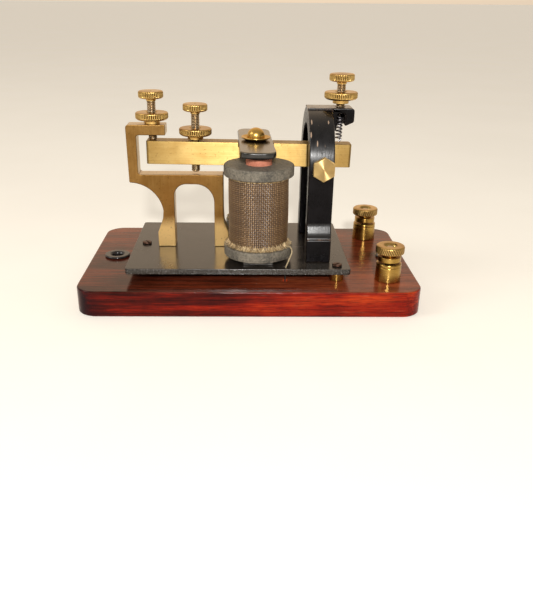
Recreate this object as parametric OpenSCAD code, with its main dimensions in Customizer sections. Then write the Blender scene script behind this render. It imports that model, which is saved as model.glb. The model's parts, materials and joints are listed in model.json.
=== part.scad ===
// Telegraph sounder: an electromagnet under an armature lever that clicks between two
// stop screws on a brass anvil frame, all on a black plate over a varnished wooden base.
// +X runs along the base towards the wire terminals, +Z is up, and the origin is the
// centre of the base's underside.

/* [Base] */
// Length of the wooden base, along X
base_l = 170; // [160:1:180]
// Width of the wooden base, along Y
base_w = 104; // [100:1:112]
// Thickness of the wooden base
base_t = 13.2; // [12:0.1:16]
// Radius of the base's corners in plan
base_corner = 10; // [4:0.5:12]
// X of the two bench-screw holes
bench_hole_x = [-71.8, 76.5];
// Radius of the bench-screw holes
bench_hole_r = 3.1; // [2:0.1:3.5]

/* [Sub-base plate] */
// Left end of the black plate
plate_x0 = -61.5; // [-63:0.5:-59]
// Right end of the black plate
plate_x1 = 50.3; // [49:0.1:54]
// Width of the black plate
plate_w = 79.2; // [76:0.2:84]
// Thickness of the black plate
plate_t = 2.9; // [2:0.1:3.5]
// Height of the brass spacers under the plate
spacer_h = 4.2; // [3:0.1:6]

/* [Anvil frame] */
// Thickness of the anvil frame, along Y
anvil_t = 9.5; // [8:0.1:12]
// X of the up-stop screw
up_stop_x = -49.1; // [-50:0.1:-48]

/* [Standard] */
// X of the standard's centre plane
standard_x = 34.75; // [34:0.05:36]
// Thickness of the standard, along X
standard_t = 12.3; // [11:0.1:13]
// Outer radius of the standard's round crown
crown_r = 27; // [26:0.5:28]
// Radial thickness of the standard's legs and crown
standard_wall = 8; // [7:0.5:9]
// Height of the crown's top above the base's underside
crown_z = 92.3; // [91:0.1:93]
// X of the spring tension screw
tension_x = 45.4; // [45:0.1:46]

/* [Lever] */
// X of the pivot axis
pivot_x = 35.6; // [35:0.1:36.5]
// Height of the pivot axis
pivot_z = 67; // [66.5:0.1:67.5]
// Reach of the lever to the left of the pivot
lever_left = 87.9; // [86:0.1:89]
// Reach of the lever's tail to the right of the pivot
lever_right = 16.1; // [15:0.1:17]
// Height of the lever bar
lever_h = 11.5; // [10:0.1:12.7]
// Thickness of the lever bar, along Y
lever_t = 9.4; // [9:0.1:10]
// Upward tilt of the lever's left end at rest, in degrees
lever_tilt = 0.71; // [0.5:0.01:0.9]
// Distance of the down-stop screw from the pivot
down_stop_reach = 63.2; // [62:0.1:64]

/* [Magnet] */
// X of the two coils' centres
coil_x = 4.5; // [3:0.1:6]
// Distance between the two coils' centres, along Y
coil_pitch = 45.4; // [45:0.1:48]
// Radius of the bobbin flanges
flange_r = 17.2; // [16:0.1:17.5]
// Thickness of the bobbin flanges
flange_t = 5.3; // [3:0.1:6]
// Radius of the wound coil
winding_r = 14.8; // [13:0.1:16]
// Width of the armature
armature_w = 17.4; // [16:0.1:18]
// Length of the armature
armature_l = 68.2; // [66:0.1:70]
// Radius of the armature's corners in plan
armature_corner = 5.5; // [3:0.1:8]

/* [Adjusting screws] */
// Radius of the threaded shanks
thread_r = 2.24; // [2:0.01:2.4]
// Radius of the knurled heads
head_r = 6.2; // [5.5:0.1:6.5]
// Thickness of the knurled heads
head_h = 3.6; // [3:0.1:4.5]
// Radius of the knurled lock nuts
nut_r = 8.25; // [7.5:0.05:8.5]
// Thickness of the lock nuts' knurled rims
nut_h = 3.9; // [3:0.1:4.5]

/* [Binding posts] */
// X of the rear binding post
rear_post_x = 68.3; // [67:0.1:70]
// X of the front binding post
front_post_x = 69.9; // [67:0.1:70]
// Distance of each binding post from the centre line
post_y = 34.2; // [32:0.1:36]
// Radius of the post bodies at the bottom
post_r = 6.5; // [6.2:0.1:6.6]
// Radius of the post bodies at the top
post_top_r = 6.3; // [5.6:0.1:6.4]
// Radius of the knurled thumb nuts
thumb_nut_r = 7.1; // [6.5:0.1:7.5]

/* [Hidden] */
$fn = 96;
eps = 0.01;

// Radial clearance of a shaft or thread that turns or slides, and of one that stays put
run_gap = 0.05;
seat_gap = 0.02;

// Heights that follow from the stack
plate_z0 = base_t + spacer_h;
plate_z = plate_z0 + plate_t;
screw_head_h = 2;

// Plate fixings: one at the left, two at the right, each on a spacer
plate_screw_r = 1.5;
plate_screw_z0 = 3;
plate_head_r = 2.5;
plate_head_edge = 0.5;
plate_head_h = 1.2;
slot_w = 0.7;
slot_depth = 0.6;
plate_screw_at = [[-55.2, 0], [44, -34.3], [44, 34.3]];
spacer_r = 3.65;

// Anvil frame outline, in X and Z. The left column hangs over the plate's left end.
anvil_x0 = -62.2;
anvil_column_x1 = -57;
anvil_x1 = -13.4;
anvil_corner = 1.6;
anvil_top_z = 83.5;
anvil_arm_z = 78.4;
anvil_arm_x1 = -42.3;
anvil_bar_z = 58.7;
left_leg_x0 = -45.4;
left_leg_x1 = -39;
right_leg_x0 = -18.3;
foot_flare = 2.9;
foot_z1 = 33.5;
anvil_screw_r = 1.8;
anvil_screw_at = [-43.6, -14.6];

// Standard: a round arch across the lever, with a nose on its right for the tension screw
crown_mid_z = crown_z - crown_r;
inner_r = crown_r - standard_wall;
standard_x0 = standard_x - standard_t / 2;
standard_x1 = standard_x + standard_t / 2;
toe_y = 29.6;
toe_z = 32;
toe_lip_h = 1.3;
toe_swell = 1.8;
toe_swell_z = 33.7;
toe_swell_h = 6.4;
nose_x1 = 51.9;
nose_w = 13;
nose_z0 = 80;
nose_z1 = 85.6;
nose_cap = 2.7;
spring_slot_r = 2;
standard_screw_r = 2;
standard_screw_y = 24.3;

// Pivot: two hexagon-headed screws whose pins enter the ends of the lever's arbor
pivot_thread_r = 2.6;
pivot_pin_r = 1.25;
arbor_r = 2.6;
arbor_l = 33;
pin_depth = 3.4;
hex_flats = 10.2;
hex_h = 3;

// Magnet stack, from the plate up
heel_h = 2.8;
heel_w = 15;
flange_z = plate_z + heel_h;
winding_h = 34.8;
upper_flange_z = flange_z + flange_t + winding_h;
core_r = 4.8;
core_top = 71.85;
sleeve_r = 6.35;
sleeve_top = 71.4;
core_screw_r = 2;
core_screw_depth = 10;

// Lever cross-section, in the lever's own frame with the pivot axis as its origin
lever_z0 = -3.9;
lever_z1 = lever_z0 + lever_h;
lever_edge = 1.2;
armature_reach = 32.5;
armature_z = 5.34;
armature_t = 3.05;
armature_yaw = 1.5;
washer_r = 7.2;
washer_t = 0.5;
washer_rise = 1;
armature_screw_r = 2;
dome_r = 4.5;
dome_skirt = 1.6;
dome_h = 3.9;

// Lock nuts stand on a small collar
collar_r = 4;
collar_h = 1.7;
nut_taper = 1.4;
nut_edge = 0.9;
neck_h = 2.3;
bore_in_head = 2.4;

// Each adjusting screw: its tip, the underside of its lock nut and the underside of its head
up_tip_z = 75.72;
up_nut_z = anvil_top_z + 0.05;
up_head_z = 95.7;
down_tip_z = -7.98;
down_nut_z = lever_z1 + 0.6;
down_head_z = 21.9;
tension_tip_z = 89.2;
tension_nut_z = crown_z + 1.6;
tension_head_z = 104.3;

// Return spring between the tension screw and the lever's tail
spring_r = 1.75;
spring_wire = 0.45;
spring_z0 = 74.66;

// Binding posts
post_at = [[front_post_x, -post_y], [rear_post_x, post_y]];
post_h = 9.4;
stud_r = 2;
stud_z0 = 0.7;
post_washer_r = 5.75;
post_washer_z = base_t + post_h + 0.9;
post_washer_h = 2.4;
thumb_nut_z = post_washer_z + post_washer_h + 0.05;
thumb_neck_h = 1.3;
thumb_neck_r = 3.6;
thumb_nut_h = 4.2;
countersink_r = 2.9;
stud_top = thumb_nut_z + thumb_neck_h + thumb_nut_h - 0.8;
base_nut_h = 3;
base_nut_flats = 7.2;
counterbore_r = 6;
counterbore_h = 5.5;

// Wires: cloth-covered leads from the coils to the posts, in grooves under the base
wire_r = 0.8;
jumper_r = 0.7;
groove_w = 3;
groove_h = 3.5;
lead_hole_r = 1.2;
lead_hole_at = [18, 36];
groove_y = 35.5;

// Points on an arc of radius r about [cx, cy], from angle a0 to a1, in n steps
function arc(cx, cy, r, a0, a1, n = 12) =
    [for (i = [0:n]) let (a = a0 + (a1 - a0) * i / n) [cx + r * cos(a), cy + r * sin(a)]];

// Catmull-Rom point between p1 and p2 at fraction t
function spline(p0, p1, p2, p3, t) =
    0.5 * ((2 * p1) + (p2 - p0) * t + (2 * p0 - 5 * p1 + 4 * p2 - p3) * t * t
           + (3 * p1 - p0 - 3 * p2 + p3) * t * t * t);

// A smooth line through the given points, with k steps for each stretch
function smooth_path(p, k = 4) =
    let (n = len(p) - 1)
    concat([for (i = [0:n - 1], j = [0:k - 1])
                spline(p[max(i - 1, 0)], p[i], p[i + 1], p[min(i + 2, n)], j / k)], [p[n]]);

function unit(v) = v / norm(v);

// A round tube swept along a path as one polyhedron, with side rings square to the path
module swept_wire(path, r, sides = 8) {
    n = len(path);
    side_ref = unit([0.35, 0.9, 0.25]);
    rings = [for (i = [0:n - 1])
        let (t = unit(path[min(i + 1, n - 1)] - path[max(i - 1, 0)]),
             a = unit(cross(t, side_ref)), b = cross(t, a))
        for (j = [0:sides - 1]) path[i] + r * (cos(360 * j / sides) * a + sin(360 * j / sides) * b)];
    walls = [for (i = [0:n - 2], j = [0:sides - 1])
        let (k = (j + 1) % sides) [i * sides + j, (i + 1) * sides + j, (i + 1) * sides + k, i * sides + k]];
    polyhedron(rings, concat([[for (j = [0:sides - 1]) j]], walls,
                             [[for (j = [sides - 1:-1:0]) (n - 1) * sides + j]]), convexity = 8);
}

// A plate with round corners, built from true cylinders, lying on z = 0 about [x, y]
module rounded_plate(x0, x1, w, h, r) {
    translate([x0 + r, -w / 2, 0]) cube([x1 - x0 - 2 * r, w, h]);
    translate([x0, -w / 2 + r, 0]) cube([x1 - x0, w - 2 * r, h]);
    for (x = [x0 + r, x1 - r], y = [-w / 2 + r, w / 2 - r])
        translate([x, y, 0]) cylinder(r = r, h = h);
}

// Carries its children, drawn about the pivot axis, into the lever's resting place
module on_lever() {
    translate([pivot_x, 0, pivot_z]) rotate([0, lever_tilt, 0]) children();
}

// A turned disc with rounded rims
module turned_disc(r, h, edge, z = 0) {
    translate([0, 0, z]) rotate_extrude()
        polygon(concat([[0, 0]], arc(r - edge, edge, edge, -90, 0, 5),
                       arc(r - edge, h - edge, edge, 0, 90, 5), [[0, h]]));
}

// A knurled thumb head on a conical neck, bored from below for its shank
module thumb_head(z) {
    difference() {
        union() {
            turned_disc(head_r, head_h, 1, z);
            translate([0, 0, z - neck_h]) cylinder(r1 = thread_r + 0.5, r2 = 3.4, h = neck_h + 0.5);
        }
        translate([0, 0, z - neck_h - eps]) cylinder(r = thread_r + run_gap, h = neck_h + bore_in_head);
    }
}

// A threaded shank, from its tip up into the head that starts at head_z
module shank(tip_z, head_z) {
    tip_h = 0.6;
    translate([0, 0, tip_z]) cylinder(r1 = thread_r - 0.5, r2 = thread_r, h = tip_h);
    translate([0, 0, tip_z + tip_h - eps])
        cylinder(r = thread_r, h = head_z + bore_in_head - 0.15 - tip_z - tip_h);
}

// A knurled lock nut standing on its collar, tapered below and rounded above
module lock_nut(z) {
    difference() {
        union() {
            translate([0, 0, z]) cylinder(r = collar_r, h = collar_h + 0.5);
            translate([0, 0, z + collar_h]) rotate_extrude()
                polygon(concat([[0, 0], [nut_r - nut_taper, 0], [nut_r, nut_taper]],
                               arc(nut_r - nut_edge, nut_h - nut_edge, nut_edge, 0, 90, 5), [[0, nut_h]]));
        }
        translate([0, 0, z - 1]) cylinder(r = thread_r + run_gap, h = nut_h + collar_h + 2);
    }
}

// The cut for a screwdriver across a screw head whose face is at z = 0
module driver_slot(head) {
    translate([-head - 1, -slot_w / 2, -slot_depth]) cube([2 * head + 2, slot_w, 2 * slot_depth]);
}

// A machine screw pointing up, with its slotted head under z
module screw_up(x, y, z, r, depth, head) {
    translate([x, y, z - screw_head_h]) difference() {
        cylinder(r = head, h = screw_head_h);
        rotate(35) driver_slot(head);
    }
    translate([x, y, z - eps]) cylinder(r = r, h = depth);
}

// Base, plate and what holds them
module wooden_base() {
    color("#7a1f10") difference() {
        rounded_plate(-base_l / 2, base_l / 2, base_w, base_t, base_corner);
        for (x = bench_hole_x) translate([x, 0, -1])
            cylinder(r = 4.6 + seat_gap, h = base_t + 2);
        for (p = plate_screw_at) translate([p[0], p[1], plate_screw_z0 - seat_gap])
            cylinder(r = plate_screw_r + seat_gap, h = base_t);
        for (p = post_at) {
            translate([p[0], p[1], -1]) cylinder(r = stud_r + seat_gap, h = base_t + 2);
            translate([p[0], p[1], -1]) cylinder(r = counterbore_r, h = counterbore_h + 1);
        }
        for (s = [-1, 1]) {
            translate([lead_hole_at[0], s * lead_hole_at[1], -1]) cylinder(r = lead_hole_r, h = base_t + 2);
            translate([lead_hole_at[0] - 2, s * groove_y - groove_w / 2, -1])
                cube([front_post_x - 3 - lead_hole_at[0], groove_w, groove_h + 1]);
        }
    }
}

module mounting_eyelets() {
    color("#1c1a18") for (x = bench_hole_x) translate([x, 0, 0]) difference() {
        union() {
            translate([0, 0, 0.3]) cylinder(r = 4.6, h = base_t - 0.3);
            turned_disc(6.7, 1.3, 0.6, base_t);
        }
        translate([0, 0, -1]) cylinder(r = bench_hole_r, h = base_t + 4);
        translate([0, 0, base_t + 0.3]) cylinder(r1 = bench_hole_r, r2 = bench_hole_r + 1, h = 1 + eps);
    }
}

module sub_base_plate() {
    color("#2a2826") difference() {
        translate([0, 0, plate_z0]) rounded_plate(plate_x0, plate_x1, plate_w, plate_t, 1.5);
        for (p = plate_screw_at) translate([p[0], p[1], plate_z0 - 1])
            cylinder(r = plate_screw_r + seat_gap, h = plate_t + 2);
        for (x = anvil_screw_at) translate([x, 0, plate_z0 - 1])
            cylinder(r = anvil_screw_r + seat_gap, h = plate_t + 2);
        for (s = [-1, 1]) {
            translate([standard_x, s * standard_screw_y, plate_z0 - 1])
                cylinder(r = standard_screw_r + seat_gap, h = plate_t + 2);
            translate([coil_x, s * coil_pitch / 2, plate_z0 - 1])
                cylinder(r = core_screw_r + seat_gap, h = plate_t + 2);
            translate([lead_hole_at[0], s * lead_hole_at[1], plate_z0 - 1])
                cylinder(r = lead_hole_r, h = plate_t + 2);
        }
    }
}

module plate_spacers() {
    color("#b8923f") for (p = plate_screw_at) translate([p[0], p[1], base_t]) difference() {
        cylinder(r = spacer_r, h = spacer_h);
        translate([0, 0, -1]) cylinder(r = plate_screw_r + seat_gap, h = spacer_h + 2);
    }
}

module plate_screws() {
    color("#3c2f28") for (p = plate_screw_at) translate([p[0], p[1], 0]) {
        difference() {
            union() {
                translate([0, 0, plate_screw_z0])
                    cylinder(r = plate_screw_r, h = plate_z - plate_screw_z0 + eps);
                turned_disc(plate_head_r, plate_head_h, plate_head_edge, plate_z);
            }
            translate([0, 0, plate_z + plate_head_h]) rotate(p[0]) driver_slot(plate_head_r);
        }
    }
}

// Anvil frame: top arm, left column, cross bar, two legs with flared feet
module anvil_profile() {
    elbow_r = 17;
    foot_x0 = left_leg_x0 - foot_flare;
    polygon(concat(
        // top arm, from its right end round the top left corner
        [[anvil_arm_x1, anvil_arm_z], [anvil_arm_x1, anvil_top_z]],
        arc(anvil_x0 + anvil_corner, anvil_top_z - anvil_corner, anvil_corner, 90, 180, 6),
        // down the column, then the quarter-round elbow into the left leg
        [[anvil_x0 + 0.3, anvil_bar_z - 4]],
        arc(anvil_x0 + 0.3, anvil_bar_z - 4.2 - elbow_r, elbow_r, 88, 8, 14),
        // foot of the left leg
        [[left_leg_x0, 36], [left_leg_x0 - 0.8, foot_z1]],
        [[foot_x0, foot_z1 - 5.5], [foot_x0, plate_z]],
        // the arch between the legs
        [[left_leg_x1 - 0.2, plate_z]],
        arc(left_leg_x1 + 6.2, 47.6, 6.2, 180, 90, 8),
        arc(right_leg_x0 - 9.5, 44.3, 9.5, 90, 0, 10),
        // foot of the right leg, then up its right edge
        [[right_leg_x0, plate_z], [anvil_x1 + 2.2, plate_z], [anvil_x1 + 2.5, foot_z1 - 5.5]],
        [[anvil_x1 + 0.3, foot_z1], [anvil_x1, 40], [anvil_x1, anvil_bar_z]],
        // the gap for the lever, open to the right
        arc(anvil_column_x1 + 1.2, anvil_bar_z + 1.2, 1.2, -90, -180, 4),
        arc(anvil_column_x1 + 1.2, anvil_arm_z - 1.2, 1.2, 180, 90, 4)));
}

module anvil_frame() {
    color("#a97f2e") difference() {
        translate([0, anvil_t / 2, 0]) rotate([90, 0, 0]) linear_extrude(anvil_t) anvil_profile();
        translate([up_stop_x, 0, anvil_arm_z - 1]) cylinder(r = thread_r + run_gap, h = 8);
        for (x = anvil_screw_at) translate([x, 0, plate_z - 1])
            cylinder(r = anvil_screw_r + seat_gap, h = 10);
    }
}

module anvil_screws() {
    color("#6d6a66") for (x = anvil_screw_at) screw_up(x, 0, plate_z0, anvil_screw_r, plate_t + 8.5, 3.2);
}

// Half of the standard's outline in Y and Z: round crown, straight leg, flared toe
module standard_half_profile() {
    polygon(concat(
        arc(0, crown_mid_z, crown_r, 90, 0, 24),
        // the leg swells out, then a small lip runs out to the toe's face
        [for (i = [0:8]) let (t = i / 8)
            [crown_r + toe_swell * (1 - cos(180 * t)) / 2, toe_swell_z + toe_swell_h * (1 - t)]],
        [for (i = [0:5]) let (t = i / 5)
            [toe_y - (toe_y - crown_r - toe_swell) * cos(90 * t), toe_z + toe_lip_h * (1 - sin(90 * t))]],
        [[toe_y, plate_z], [inner_r, plate_z]],
        arc(0, crown_mid_z, inner_r, 0, 90, 20)));
}

module nose_profile() {
    polygon([[standard_x0, crown_z - 6], [standard_x0, crown_z], [nose_x1 - 1, crown_z],
             [nose_x1, crown_z - 1], [nose_x1, nose_z1], [tension_x - 0.6, nose_z1 - 3.1],
             [standard_x1 - 1, nose_z0]]);
}

module standard() {
    color("#17161a") difference() {
        union() {
            translate([standard_x0, 0, 0]) rotate([90, 0, 90]) linear_extrude(standard_t) union() {
                standard_half_profile();
                mirror([1, 0]) standard_half_profile();
            }
            difference() {
                translate([0, nose_w / 2, 0]) rotate([90, 0, 0]) linear_extrude(nose_w) nose_profile();
                // keeps the nose out of the arch's opening
                translate([standard_x0 - 1, 0, crown_mid_z]) rotate([0, 90, 0])
                    cylinder(r = inner_r + 1, h = standard_t + 1);
            }
        }
        // pivot screw threads
        translate([pivot_x, 0, pivot_z]) rotate([90, 0, 0])
            cylinder(r = pivot_thread_r + seat_gap, h = 2 * crown_r + 2, center = true);
        // tension screw thread, and the slot that holds the spring
        translate([tension_x, 0, nose_z0]) cylinder(r = thread_r + run_gap, h = 20);
        translate([tension_x, 0, nose_z0 - 4]) {
            slot_h = crown_z - nose_cap - nose_z0 + 4;
            cylinder(r = spring_slot_r, h = slot_h);
            translate([-spring_slot_r, -nose_w, 0]) cube([2 * spring_slot_r, nose_w, slot_h]);
        }
        for (s = [-1, 1]) translate([standard_x, s * standard_screw_y, plate_z - 1])
            cylinder(r = standard_screw_r + seat_gap, h = 10.5);
    }
}

module standard_screws() {
    color("#6d6a66") for (s = [-1, 1])
        screw_up(standard_x, s * standard_screw_y, plate_z0, standard_screw_r, plate_t + 9, 3.6);
}

// A pivot screw on the side s: hexagon head outside the leg, pin inside the arbor's end
module pivot_screw(s) {
    color("#c9a24a") translate([pivot_x, 0, pivot_z]) rotate([s * -90, 0, 0]) {
        translate([0, 0, crown_r + seat_gap]) rotate(30)
            cylinder(d = hex_flats / cos(30), h = hex_h, $fn = 6);
        translate([0, 0, inner_r]) cylinder(r = pivot_thread_r, h = crown_r - inner_r + 1);
        translate([0, 0, arbor_l / 2 - pin_depth])
            cylinder(r = pivot_pin_r, h = inner_r - arbor_l / 2 + pin_depth + eps);
    }
}
module front_pivot_screw() { pivot_screw(-1); }
module rear_pivot_screw() { pivot_screw(1); }

module pivot_arbor() {
    color("#8c8a86") on_lever() rotate([90, 0, 0]) difference() {
        cylinder(r = arbor_r, h = arbor_l, center = true);
        for (s = [-1, 1]) translate([0, 0, s * (arbor_l / 2 - pin_depth / 2)])
            cylinder(r = pivot_pin_r + run_gap, h = pin_depth + 0.4, center = true);
    }
}

// Magnet: heel bar, two cores and two bobbins; s is -1 at the front and 1 at the rear
module at_coil(s) {
    translate([coil_x, s * coil_pitch / 2, 0]) children();
}

module heel_bar() {
    heel_l = coil_pitch + 22;
    color("#4a4845") difference() {
        translate([coil_x - heel_w / 2, -heel_l / 2, plate_z]) cube([heel_w, heel_l, heel_h]);
        for (s = [-1, 1]) at_coil(s) translate([0, 0, plate_z - 1])
            cylinder(r = core_screw_r + seat_gap, h = heel_h + 2);
    }
}

module core_screws() {
    color("#6d6a66") for (s = [-1, 1])
        screw_up(coil_x, s * coil_pitch / 2, plate_z0, core_screw_r,
                 plate_t + heel_h + core_screw_depth - 0.5, 3.6);
}

module core(s) {
    color("#55524e") at_coil(s) difference() {
        translate([0, 0, flange_z]) cylinder(r = core_r, h = core_top - flange_z);
        translate([0, 0, flange_z - 1]) cylinder(r = core_screw_r + seat_gap, h = core_screw_depth + 1);
    }
}
module front_core() { core(-1); }
module rear_core() { core(1); }

module sleeve(s) {
    color("#8a3a22") at_coil(s) translate([0, 0, flange_z]) difference() {
        cylinder(r = sleeve_r, h = sleeve_top - flange_z);
        translate([0, 0, -1]) cylinder(r = core_r + seat_gap, h = sleeve_top);
    }
}
module front_sleeve() { sleeve(-1); }
module rear_sleeve() { sleeve(1); }

module flange(s, z) {
    color("#3d3f3c") at_coil(s) translate([0, 0, z]) difference() {
        turned_disc(flange_r, flange_t, 0.8);
        translate([0, 0, -1]) cylinder(r = sleeve_r + seat_gap, h = flange_t + 2);
    }
}
module front_lower_flange() { flange(-1, flange_z); }
module front_upper_flange() { flange(-1, upper_flange_z); }
module rear_lower_flange() { flange(1, flange_z); }
module rear_upper_flange() { flange(1, upper_flange_z); }

module winding(s) {
    color("#6b5a34") at_coil(s) translate([0, 0, flange_z + flange_t + seat_gap]) difference() {
        cylinder(r = winding_r, h = winding_h - 2 * seat_gap);
        translate([0, 0, -1]) cylinder(r = sleeve_r + seat_gap, h = winding_h + 2);
    }
}
module front_winding() { winding(-1); }
module rear_winding() { winding(1); }

// Cloth-covered wires. A lead leaves the winding over the lower flange's rim, goes down
// through plate and base, and runs in its groove to the post's nut.
wire_z = flange_z + flange_t + wire_r + 0.1;
module lead_wire(s, post_x) {
    hole = lead_hole_at;
    route = [[18.5, 30.9, wire_z], [20.4, 32, wire_z + 0.1], [21.1, 33.3, 27], [19.6, 35.2, 23.5],
             [hole[0], hole[1], plate_z - 1], [hole[0], hole[1], base_t], [hole[0], hole[1], 7],
             [hole[0], 35.9, 4.4], [hole[0] + 1, 35.7, 2.3], [hole[0] + 3.4, groove_y, 1.8],
             [34, groove_y, 1.8],
             [50, groove_y, 1.8], [post_x - 6.5, groove_y, 1.8], [post_x - 3.7, 38, 2.2],
             [post_x, 39, 2.6]];
    color("#a08a58") swept_wire(smooth_path([for (p = route) [p[0], s * p[1], p[2]]]), wire_r);
}
module front_lead_wire() { lead_wire(-1, front_post_x); }
module rear_lead_wire() { lead_wire(1, rear_post_x); }

module coil_jumper() {
    route = [[15.4, -11.3, wire_z], [15.8, -6, wire_z + 0.3], [16, 0, wire_z - 0.4],
             [15.8, 6, wire_z + 0.3], [15.4, 11.3, wire_z]];
    color("#a08a58") swept_wire(smooth_path(route), jumper_r);
}

// Lever and what rides on it
module armature_outline(grow) {
    half_w = armature_w / 2 + grow;
    half_l = armature_l / 2 + grow;
    r = armature_corner + grow;
    rotate(armature_yaw) {
        for (x = [r - half_w, half_w - r], y = [r - half_l, half_l - r]) translate([x, y]) circle(r = r);
        square([2 * (half_w - r), 2 * half_l], center = true);
        square([2 * half_w, 2 * (half_l - r)], center = true);
    }
}

module lever() {
    color("#d1aa4e") on_lever() difference() {
        translate([0, 0, lever_z0]) rounded_plate(-lever_left, lever_right, lever_t, lever_h, lever_edge);
        // notch for the armature
        translate([-armature_reach, 0, armature_z]) linear_extrude(lever_h) armature_outline(0.1);
        translate([-armature_reach, 0, lever_z0 - 1])
            cylinder(r = armature_screw_r + seat_gap, h = lever_h + 2);
        translate([-down_stop_reach, 0, lever_z0 - 1]) cylinder(r = thread_r + run_gap, h = lever_h + 2);
        rotate([90, 0, 0]) cylinder(r = arbor_r + seat_gap, h = lever_t + 2, center = true);
    }
}

module armature() {
    color("#5d5b58") on_lever() translate([-armature_reach, 0, armature_z + seat_gap]) difference() {
        linear_extrude(armature_t) armature_outline(0);
        translate([0, 0, -1]) cylinder(r = armature_screw_r + seat_gap, h = armature_t + 2);
    }
}

// Cup washer with an upturned rim, and the round-headed screw that stands in it
washer_z = armature_z + armature_t + 2 * seat_gap;
module armature_washer() {
    color("#b8923f") on_lever() translate([-armature_reach, 0, washer_z]) difference() {
        rotate_extrude()
            polygon([[0, 0], [dome_r + 0.7, 0], [washer_r, washer_rise],
                     [washer_r - 0.35, washer_rise + 0.35], [dome_r + 0.5, washer_t], [0, washer_t]]);
        translate([0, 0, -1]) cylinder(r = armature_screw_r + seat_gap, h = washer_t + 2);
    }
}

module armature_screw() {
    head_z = washer_z + washer_t + seat_gap;
    color("#d1aa4e") on_lever() translate([-armature_reach, 0, 0]) {
        translate([0, 0, head_z]) rotate_extrude()
            polygon(concat([[0, 0], [dome_r, 0]],
                           [for (a = [0:10:90]) [dome_r * cos(a), dome_skirt + dome_h * sin(a)]]));
        translate([0, 0, lever_z0 + 0.5]) cylinder(r = armature_screw_r, h = head_z - lever_z0 - 0.5 + eps);
    }
}

// Adjusting screws and their lock nuts
module at_up_stop() { translate([up_stop_x, 0, 0]) children(); }
module at_down_stop() { on_lever() translate([-down_stop_reach, 0, 0]) children(); }
module at_tension() { translate([tension_x, 0, 0]) children(); }

module up_stop_shank() { color("#a58a4e") at_up_stop() shank(up_tip_z, up_head_z); }
module up_stop_head() { color("#c39a45") at_up_stop() thumb_head(up_head_z); }
module up_stop_lock_nut() { color("#b98f3c") at_up_stop() lock_nut(up_nut_z); }
module down_stop_shank() { color("#a58a4e") at_down_stop() shank(down_tip_z, down_head_z); }
module down_stop_head() { color("#c39a45") at_down_stop() thumb_head(down_head_z); }
module down_stop_lock_nut() { color("#b98f3c") at_down_stop() lock_nut(down_nut_z); }
module tension_shank() { color("#a58a4e") at_tension() shank(tension_tip_z, tension_head_z); }
module tension_head() { color("#c39a45") at_tension() thumb_head(tension_head_z); }
module tension_lock_nut() { color("#b98f3c") at_tension() lock_nut(tension_nut_z); }

// The return spring's outer shape, as a plain tube
module return_spring() {
    color("#8c8a86") at_tension() translate([0, 0, spring_z0]) difference() {
        cylinder(r = spring_r, h = tension_tip_z - spring_z0 - 0.03);
        translate([0, 0, -1]) cylinder(r = spring_r - spring_wire, h = tension_tip_z);
    }
}

// Binding posts
// Post body: a slight cone with a turned groove under its top rim
module post_body(i) {
    rim = post_h - 1;
    color("#b08a3a") translate([post_at[i][0], post_at[i][1], base_t]) difference() {
        rotate_extrude()
            polygon([[0, 0], [post_r - 0.2, 0], [post_r, 0.3], [post_top_r + 0.1, rim - 0.9],
                     [post_top_r - 0.35, rim - 0.6], [post_top_r - 0.35, rim - 0.1], [post_top_r, rim + 0.2],
                     [post_top_r - 0.1, post_h - 0.2], [post_top_r - 0.3, post_h], [0, post_h]]);
        translate([0, 0, -1]) cylinder(r = stud_r + seat_gap, h = post_h + 2);
    }
}
module front_post_body() { post_body(0); }
module rear_post_body() { post_body(1); }

module post_stud(i) {
    color("#8a6d34") translate([post_at[i][0], post_at[i][1], stud_z0])
        cylinder(r = stud_r, h = stud_top - stud_z0);
}
module front_post_stud() { post_stud(0); }
module rear_post_stud() { post_stud(1); }

module post_washer(i) {
    color("#a8823a") translate([post_at[i][0], post_at[i][1], post_washer_z]) difference() {
        turned_disc(post_washer_r, post_washer_h, 0.4);
        translate([0, 0, -1]) cylinder(r = stud_r + run_gap, h = post_washer_h + 2);
    }
}
module front_post_washer() { post_washer(0); }
module rear_post_washer() { post_washer(1); }

module thumb_nut(i) {
    color("#c39a45") translate([post_at[i][0], post_at[i][1], thumb_nut_z]) difference() {
        union() {
            cylinder(r = thumb_neck_r, h = thumb_neck_h + 0.5);
            turned_disc(thumb_nut_r, thumb_nut_h, 1, thumb_neck_h);
        }
        translate([0, 0, -1]) cylinder(r = stud_r + run_gap, h = 10);
        translate([0, 0, thumb_neck_h + thumb_nut_h - 1])
            cylinder(r1 = stud_r + run_gap, r2 = countersink_r, h = 1 + eps);
    }
}
module front_thumb_nut() { thumb_nut(0); }
module rear_thumb_nut() { thumb_nut(1); }

module post_base_nuts() {
    color("#9a7a38") for (p = post_at) translate([p[0], p[1], counterbore_h - base_nut_h]) difference() {
        cylinder(d = base_nut_flats / cos(30), h = base_nut_h, $fn = 6);
        translate([0, 0, -1]) cylinder(r = stud_r + seat_gap, h = base_nut_h + 2);
    }
}

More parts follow.
